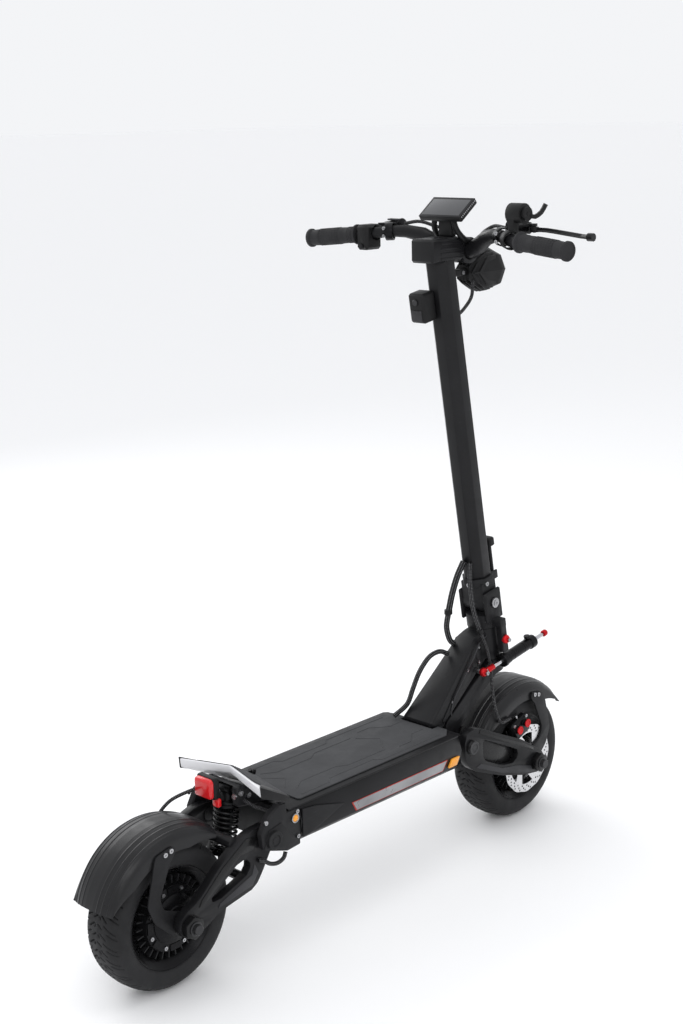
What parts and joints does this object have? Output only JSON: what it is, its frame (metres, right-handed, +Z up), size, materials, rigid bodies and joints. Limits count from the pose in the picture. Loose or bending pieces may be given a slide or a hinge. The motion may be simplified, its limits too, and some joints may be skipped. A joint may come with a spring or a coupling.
{
  "type": "electric kick scooter",
  "caption": "Folding electric kick scooter with hub-motor wheels, sprung arms at both ends, a rear shock absorber, disc brakes, a swept handlebar, lights and a side stand.",
  "frame": {"origin": "on the floor under the middle of the box around the scooter", "axes": "+X forward, +Y to the rider's left, +Z up"},
  "size_m": [1.1793, 0.616, 1.227],
  "materials": {
    "tyre": "black rubber tread",
    "rubber": "matt black and dark grey rubber",
    "black_alloy": "satin black paint on cast and formed alloy",
    "dark_metal": "black anodised and painted metal",
    "bright_steel": "ground and polished steel",
    "black_plastic": "black moulded plastic",
    "stay_alloy": "satin black plate",
    "white_trim": "white painted foot rest",
    "red_lens": "clear red plastic",
    "cable": "black cable jacket",
    "battery_wrap": "blue shrink wrap",
    "bare_alloy": "bare alloy case"
  },
  "bodies": {
    "chassis": {"chassis_tub": "black_alloy", "deck_plate": "black_alloy", "deck_mat": "rubber", "battery_pack": "battery_wrap", "motor_controller": "bare_alloy", "rear_casting": "black_alloy", "neck": "black_alloy", "kick_plate": "white_trim", "shock_bracket": "black_alloy", "tail_light": "red_lens", "damper_rod": "bright_steel", "neck_loom": "cable", "rear_motor_cable": "cable"},
    "kickstand_leg": {"kickstand": "black_alloy"},
    "rear_arm": {"rear_swingarm": "black_alloy", "rear_axle": "dark_metal", "rear_fender": "black_plastic", "rear_fender_stay_right": "stay_alloy", "rear_fender_stay_left": "stay_alloy", "rear_caliper": "dark_metal"},
    "rear_wheel": {"rear_tyre": "tyre", "rear_hub_motor": "dark_metal", "rear_brake_disc": "bright_steel"},
    "shock_upper": {"shock_body": "dark_metal"},
    "shock_lower": {"shock_rod": "dark_metal", "shock_spring": "dark_metal"},
    "fork": {"fork_bracket": "black_alloy", "front_pivot_shaft": "dark_metal", "fold_base": "black_alloy", "fold_pin": "bright_steel", "stem_loom": "cable", "front_brake_hose": "cable"},
    "front_arm": {"front_swingarm": "black_alloy", "front_axle": "dark_metal", "front_fender": "black_plastic", "front_fender_stay_right": "stay_alloy", "front_fender_stay_left": "stay_alloy", "front_caliper": "dark_metal"},
    "front_wheel": {"front_tyre": "tyre", "front_hub_motor": "dark_metal", "front_brake_disc": "bright_steel"},
    "steering_damper": {"damper_body": "dark_metal"},
    "stem": {"stem_tube": "black_alloy", "stem_foot": "black_alloy", "stem_head": "black_alloy", "handlebar": "dark_metal", "grip_left": "rubber", "grip_right": "rubber", "display": "black_plastic", "headlight": "black_plastic", "lock_box": "black_plastic", "switch_pod": "black_plastic", "brake_perch_left": "dark_metal", "brake_perch_right": "dark_metal", "throttle_pod": "black_plastic"},
    "latch": {"latch_lever": "dark_metal"},
    "throttle": {"throttle_paddle": "black_plastic"},
    "brake_left": {"brake_lever_left": "dark_metal"},
    "brake_right": {"brake_lever_right": "dark_metal"},
    "horn": {"horn_button": "red_lens"}
  },
  "joints": [
    {"name": "steering", "type": "hinge", "parent": "chassis", "child": "fork", "pos_m": [0.403, 0, 0.348], "axis": [-0.1692, 0, 0.9856], "range_deg": [-30, 30], "deforming": ["stem_loom"]},
    {"name": "damper_slide", "type": "slide", "parent": "chassis", "child": "steering_damper", "axis": [0.9856, 0, 0.1692], "range_m": [-0.0245, 0.0245]},
    {"name": "rear_suspension", "type": "hinge", "parent": "chassis", "child": "rear_arm", "pos_m": [-0.2712, 0, 0.222], "axis": [0, 1, 0], "range_deg": [0, 12], "stiffness_Nm_per_rad": 140, "springref_deg": -14.32, "deforming": ["shock_spring", "rear_motor_cable"]},
    {"name": "shock_swing", "type": "hinge", "parent": "chassis", "child": "shock_upper", "pos_m": [-0.2812, 0, 0.29], "axis": [0, 1, 0], "range_deg": [-1, 8]},
    {"name": "shock_stroke", "type": "slide", "parent": "shock_upper", "child": "shock_lower", "axis": [0.1504, 0, 0.9886], "range_m": [-0.001, 0.012]},
    {"name": "rear_wheel_spin", "type": "hinge", "parent": "rear_arm", "child": "rear_wheel", "pos_m": [-0.4412, 0, 0.12689], "axis": [0, 1, 0], "continuous": true},
    {"name": "front_suspension", "type": "hinge", "parent": "fork", "child": "front_arm", "pos_m": [0.2608, 0, 0.218], "axis": [0, -1, 0], "range_deg": [0, 10], "stiffness_Nm_per_rad": 160, "springref_deg": -14.32, "deforming": ["front_brake_hose"]},
    {"name": "front_wheel_spin", "type": "hinge", "parent": "front_arm", "child": "front_wheel", "pos_m": [0.4628, 0, 0.12689], "axis": [0, 1, 0], "continuous": true},
    {"name": "stem_fold", "type": "hinge", "parent": "fork", "child": "stem", "pos_m": [0.38309, 0, 0.464], "axis": [0, -1, 0], "range_deg": [0, 80]},
    {"name": "latch_turn", "type": "hinge", "parent": "stem", "child": "latch", "pos_m": [0.41493, 0, 0.50904], "axis": [0, 1, 0], "range_deg": [0, 75]},
    {"name": "throttle_turn", "type": "hinge", "parent": "stem", "child": "throttle", "pos_m": [0.2808, -0.17, 1.206], "axis": [0, 1, 0], "range_deg": [0, 25], "stiffness_Nm_per_rad": 0.3, "springref_deg": -17.19},
    {"name": "brake_left_pull", "type": "hinge", "parent": "stem", "child": "brake_left", "pos_m": [0.31419, 0.177, 1.16839], "axis": [0, 0, 1], "range_deg": [0, 12], "stiffness_Nm_per_rad": 3, "springref_deg": -11.46},
    {"name": "brake_right_pull", "type": "hinge", "parent": "stem", "child": "brake_right", "pos_m": [0.31419, -0.177, 1.17739], "axis": [0, 0, -1], "range_deg": [0, 12], "stiffness_Nm_per_rad": 3, "springref_deg": -11.46},
    {"name": "horn_press", "type": "slide", "parent": "stem", "child": "horn", "axis": [1, 0, 0], "range_m": [0, 0.002], "stiffness_N_per_m": 400, "springref_m": -0.002},
    {"name": "kickstand_swing", "type": "hinge", "parent": "chassis", "child": "kickstand_leg", "pos_m": [-0.2062, 0.1045, 0.206], "axis": [0, -0.9806, -0.1959], "range_deg": [0, 80]}
  ],
  "couplings": [
    {"joint": "damper_slide", "follows": "steering", "m_per_rad": 0.044},
    {"joint": "shock_swing", "follows": "rear_suspension", "ratio": 0.5298},
    {"joint": "shock_stroke", "follows": "rear_suspension", "m_per_rad": 0.02253}
  ]
}
